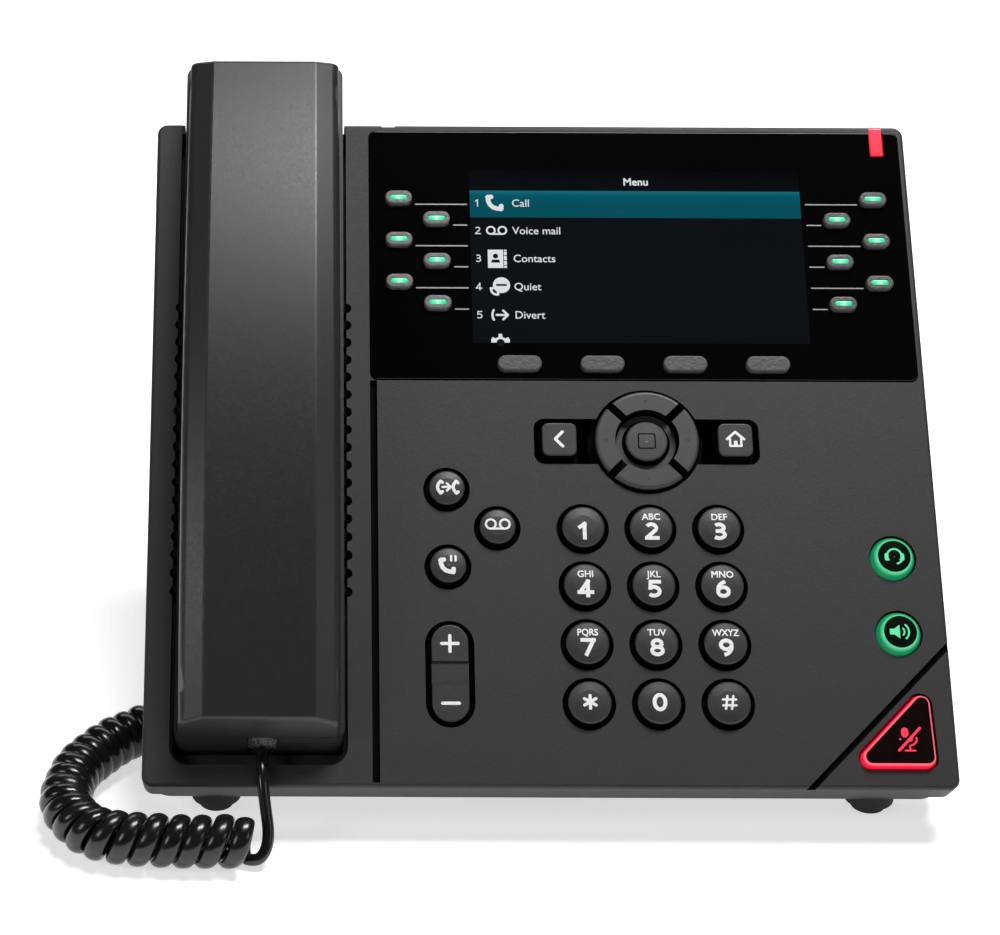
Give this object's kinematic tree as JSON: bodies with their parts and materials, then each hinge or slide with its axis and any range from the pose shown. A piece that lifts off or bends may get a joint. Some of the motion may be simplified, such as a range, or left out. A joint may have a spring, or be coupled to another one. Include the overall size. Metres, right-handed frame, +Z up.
{
  "type": "desk phone",
  "caption": "Sloping desk phone with a colour screen in a glossy panel, sprung keys, a cradle for the handset on the left, a lit mute key and a curly handset cord.",
  "frame": {"origin": "on the desk, at the middle of the footprint of the phone without its cord", "axes": "+X to the user's right, +Y away from the user, +Z up"},
  "size_m": [0.2455, 0.1824, 0.1739],
  "materials": {
    "housing": "fine matte texture",
    "handset": "fine matte texture",
    "key": "satin",
    "panel_key": "satin, grey",
    "panel": "glossy black",
    "screen": "dark screen",
    "board": "green solder mask",
    "silicone": "matte",
    "driver": "paper and steel",
    "rubber": "matte",
    "capsule": "satin",
    "plug": "clear plastic",
    "cord": "glossy black",
    "lit_green": "lit green rim, dark face",
    "lit_red": "lit red rim, dark face",
    "lamp_red": "red light pipe"
  },
  "bodies": {
    "base": {"front_cover": "housing", "rear_cover": "housing", "display_window": "panel", "display_module": "screen", "main_board": "board", "keypad_mat": "silicone", "message_lamp": "lamp_red", "loudspeaker": "driver", "desk_stand": "housing", "rubber_feet": "rubber", "cord_leads": "cord", "cord_coil": "cord", "base_plug": "plug"},
    "handset": {"handset_outer_shell": "handset", "handset_inner_shell": "handset", "handset_capsules": "capsule", "handset_plug": "plug"},
    "hook": {"hook_switch": "key"},
    "volume": {"volume_rocker": "key"},
    "key_1_body": {"key_1": "key"},
    "key_2_body": {"key_2": "key"},
    "key_3_body": {"key_3": "key"},
    "key_4_body": {"key_4": "key"},
    "key_5_body": {"key_5": "key"},
    "key_6_body": {"key_6": "key"},
    "key_7_body": {"key_7": "key"},
    "key_8_body": {"key_8": "key"},
    "key_9_body": {"key_9": "key"},
    "key_star_body": {"key_star": "key"},
    "key_0_body": {"key_0": "key"},
    "key_pound_body": {"key_pound": "key"},
    "soft_key_1_body": {"soft_key_1": "panel_key"},
    "soft_key_2_body": {"soft_key_2": "panel_key"},
    "soft_key_3_body": {"soft_key_3": "panel_key"},
    "soft_key_4_body": {"soft_key_4": "panel_key"},
    "line_key_left_1_body": {"line_key_left_1": "panel_key"},
    "line_key_left_2_body": {"line_key_left_2": "panel_key"},
    "line_key_left_3_body": {"line_key_left_3": "panel_key"},
    "line_key_left_4_body": {"line_key_left_4": "panel_key"},
    "line_key_left_5_body": {"line_key_left_5": "panel_key"},
    "line_key_left_6_body": {"line_key_left_6": "panel_key"},
    "line_key_right_1_body": {"line_key_right_1": "panel_key"},
    "line_key_right_2_body": {"line_key_right_2": "panel_key"},
    "line_key_right_3_body": {"line_key_right_3": "panel_key"},
    "line_key_right_4_body": {"line_key_right_4": "panel_key"},
    "line_key_right_5_body": {"line_key_right_5": "panel_key"},
    "line_key_right_6_body": {"line_key_right_6": "panel_key"},
    "nav_up_key_body": {"nav_up_key": "key"},
    "nav_down_key_body": {"nav_down_key": "key"},
    "nav_left_key_body": {"nav_left_key": "key"},
    "nav_right_key_body": {"nav_right_key": "key"},
    "select_key_body": {"select_key": "key"},
    "back_key_body": {"back_key": "key"},
    "home_key_body": {"home_key": "key"},
    "transfer_key_body": {"transfer_key": "key"},
    "messages_key_body": {"messages_key": "key"},
    "hold_key_body": {"hold_key": "key"},
    "headset_key_body": {"headset_key": "lit_green"},
    "speaker_key_body": {"speaker_key": "lit_green"},
    "mute_key_body": {"mute_key": "lit_red"}
  },
  "joints": [
    {"name": "handset_lift", "type": "slide", "parent": "base", "child": "handset", "axis": [0, -0.7071, 0.7071], "range_m": [0, 0.09]},
    {"name": "hook_rise", "type": "slide", "parent": "base", "child": "hook", "axis": [0, -0.7071, 0.7071], "range_m": [0, 0.0036]},
    {"name": "volume_tip", "type": "hinge", "parent": "base", "child": "volume", "pos_m": [-0.0262, -0.05766, 0.03646], "axis": [1, 0, 0], "range_deg": [-3, 3], "stiffness_Nm_per_rad": 0.4},
    {"name": "key_1_press", "type": "slide", "parent": "base", "child": "key_1_body", "axis": [0, 0.7071, -0.7071], "range_m": [0, 0.0012], "stiffness_N_per_m": 350},
    {"name": "key_2_press", "type": "slide", "parent": "base", "child": "key_2_body", "axis": [0, 0.7071, -0.7071], "range_m": [0, 0.0012], "stiffness_N_per_m": 350},
    {"name": "key_3_press", "type": "slide", "parent": "base", "child": "key_3_body", "axis": [0, 0.7071, -0.7071], "range_m": [0, 0.0012], "stiffness_N_per_m": 350},
    {"name": "key_4_press", "type": "slide", "parent": "base", "child": "key_4_body", "axis": [0, 0.7071, -0.7071], "range_m": [0, 0.0012], "stiffness_N_per_m": 350},
    {"name": "key_5_press", "type": "slide", "parent": "base", "child": "key_5_body", "axis": [0, 0.7071, -0.7071], "range_m": [0, 0.0012], "stiffness_N_per_m": 350},
    {"name": "key_6_press", "type": "slide", "parent": "base", "child": "key_6_body", "axis": [0, 0.7071, -0.7071], "range_m": [0, 0.0012], "stiffness_N_per_m": 350},
    {"name": "key_7_press", "type": "slide", "parent": "base", "child": "key_7_body", "axis": [0, 0.7071, -0.7071], "range_m": [0, 0.0012], "stiffness_N_per_m": 350},
    {"name": "key_8_press", "type": "slide", "parent": "base", "child": "key_8_body", "axis": [0, 0.7071, -0.7071], "range_m": [0, 0.0012], "stiffness_N_per_m": 350},
    {"name": "key_9_press", "type": "slide", "parent": "base", "child": "key_9_body", "axis": [0, 0.7071, -0.7071], "range_m": [0, 0.0012], "stiffness_N_per_m": 350},
    {"name": "key_star_press", "type": "slide", "parent": "base", "child": "key_star_body", "axis": [0, 0.7071, -0.7071], "range_m": [0, 0.0012], "stiffness_N_per_m": 350},
    {"name": "key_0_press", "type": "slide", "parent": "base", "child": "key_0_body", "axis": [0, 0.7071, -0.7071], "range_m": [0, 0.0012], "stiffness_N_per_m": 350},
    {"name": "key_pound_press", "type": "slide", "parent": "base", "child": "key_pound_body", "axis": [0, 0.7071, -0.7071], "range_m": [0, 0.0012], "stiffness_N_per_m": 350},
    {"name": "soft_key_1_press", "type": "slide", "parent": "base", "child": "soft_key_1_body", "axis": [0, 0.7071, -0.7071], "range_m": [0, 0.0008], "stiffness_N_per_m": 350},
    {"name": "soft_key_2_press", "type": "slide", "parent": "base", "child": "soft_key_2_body", "axis": [0, 0.7071, -0.7071], "range_m": [0, 0.0008], "stiffness_N_per_m": 350},
    {"name": "soft_key_3_press", "type": "slide", "parent": "base", "child": "soft_key_3_body", "axis": [0, 0.7071, -0.7071], "range_m": [0, 0.0008], "stiffness_N_per_m": 350},
    {"name": "soft_key_4_press", "type": "slide", "parent": "base", "child": "soft_key_4_body", "axis": [0, 0.7071, -0.7071], "range_m": [0, 0.0008], "stiffness_N_per_m": 350},
    {"name": "line_key_left_1_press", "type": "slide", "parent": "base", "child": "line_key_left_1_body", "axis": [0, 0.7071, -0.7071], "range_m": [0, 0.0008], "stiffness_N_per_m": 350},
    {"name": "line_key_left_2_press", "type": "slide", "parent": "base", "child": "line_key_left_2_body", "axis": [0, 0.7071, -0.7071], "range_m": [0, 0.0008], "stiffness_N_per_m": 350},
    {"name": "line_key_left_3_press", "type": "slide", "parent": "base", "child": "line_key_left_3_body", "axis": [0, 0.7071, -0.7071], "range_m": [0, 0.0008], "stiffness_N_per_m": 350},
    {"name": "line_key_left_4_press", "type": "slide", "parent": "base", "child": "line_key_left_4_body", "axis": [0, 0.7071, -0.7071], "range_m": [0, 0.0008], "stiffness_N_per_m": 350},
    {"name": "line_key_left_5_press", "type": "slide", "parent": "base", "child": "line_key_left_5_body", "axis": [0, 0.7071, -0.7071], "range_m": [0, 0.0008], "stiffness_N_per_m": 350},
    {"name": "line_key_left_6_press", "type": "slide", "parent": "base", "child": "line_key_left_6_body", "axis": [0, 0.7071, -0.7071], "range_m": [0, 0.0008], "stiffness_N_per_m": 350},
    {"name": "line_key_right_1_press", "type": "slide", "parent": "base", "child": "line_key_right_1_body", "axis": [0, 0.7071, -0.7071], "range_m": [0, 0.0008], "stiffness_N_per_m": 350},
    {"name": "line_key_right_2_press", "type": "slide", "parent": "base", "child": "line_key_right_2_body", "axis": [0, 0.7071, -0.7071], "range_m": [0, 0.0008], "stiffness_N_per_m": 350},
    {"name": "line_key_right_3_press", "type": "slide", "parent": "base", "child": "line_key_right_3_body", "axis": [0, 0.7071, -0.7071], "range_m": [0, 0.0008], "stiffness_N_per_m": 350},
    {"name": "line_key_right_4_press", "type": "slide", "parent": "base", "child": "line_key_right_4_body", "axis": [0, 0.7071, -0.7071], "range_m": [0, 0.0008], "stiffness_N_per_m": 350},
    {"name": "line_key_right_5_press", "type": "slide", "parent": "base", "child": "line_key_right_5_body", "axis": [0, 0.7071, -0.7071], "range_m": [0, 0.0008], "stiffness_N_per_m": 350},
    {"name": "line_key_right_6_press", "type": "slide", "parent": "base", "child": "line_key_right_6_body", "axis": [0, 0.7071, -0.7071], "range_m": [0, 0.0008], "stiffness_N_per_m": 350},
    {"name": "nav_up_key_press", "type": "slide", "parent": "base", "child": "nav_up_key_body", "axis": [0, 0.7071, -0.7071], "range_m": [0, 0.0009], "stiffness_N_per_m": 350},
    {"name": "nav_down_key_press", "type": "slide", "parent": "base", "child": "nav_down_key_body", "axis": [0, 0.7071, -0.7071], "range_m": [0, 0.0009], "stiffness_N_per_m": 350},
    {"name": "nav_left_key_press", "type": "slide", "parent": "base", "child": "nav_left_key_body", "axis": [0, 0.7071, -0.7071], "range_m": [0, 0.0009], "stiffness_N_per_m": 350},
    {"name": "nav_right_key_press", "type": "slide", "parent": "base", "child": "nav_right_key_body", "axis": [0, 0.7071, -0.7071], "range_m": [0, 0.0009], "stiffness_N_per_m": 350},
    {"name": "select_key_press", "type": "slide", "parent": "base", "child": "select_key_body", "axis": [0, 0.7071, -0.7071], "range_m": [0, 0.0012], "stiffness_N_per_m": 350},
    {"name": "back_key_press", "type": "slide", "parent": "base", "child": "back_key_body", "axis": [0, 0.7071, -0.7071], "range_m": [0, 0.0012], "stiffness_N_per_m": 350},
    {"name": "home_key_press", "type": "slide", "parent": "base", "child": "home_key_body", "axis": [0, 0.7071, -0.7071], "range_m": [0, 0.0012], "stiffness_N_per_m": 350},
    {"name": "transfer_key_press", "type": "slide", "parent": "base", "child": "transfer_key_body", "axis": [0, 0.7071, -0.7071], "range_m": [0, 0.0012], "stiffness_N_per_m": 350},
    {"name": "messages_key_press", "type": "slide", "parent": "base", "child": "messages_key_body", "axis": [0, 0.7071, -0.7071], "range_m": [0, 0.0012], "stiffness_N_per_m": 350},
    {"name": "hold_key_press", "type": "slide", "parent": "base", "child": "hold_key_body", "axis": [0, 0.7071, -0.7071], "range_m": [0, 0.0012], "stiffness_N_per_m": 350},
    {"name": "headset_key_press", "type": "slide", "parent": "base", "child": "headset_key_body", "axis": [0, 0.7071, -0.7071], "range_m": [0, 0.0012], "stiffness_N_per_m": 350},
    {"name": "speaker_key_press", "type": "slide", "parent": "base", "child": "speaker_key_body", "axis": [0, 0.7071, -0.7071], "range_m": [0, 0.0012], "stiffness_N_per_m": 350},
    {"name": "mute_key_press", "type": "slide", "parent": "base", "child": "mute_key_body", "axis": [0, 0.7071, -0.7071], "range_m": [0, 0.0012], "stiffness_N_per_m": 350}
  ],
  "couplings": [
    {"joint": "hook_rise", "follows": "handset_lift", "ratio": 0.04}
  ]
}
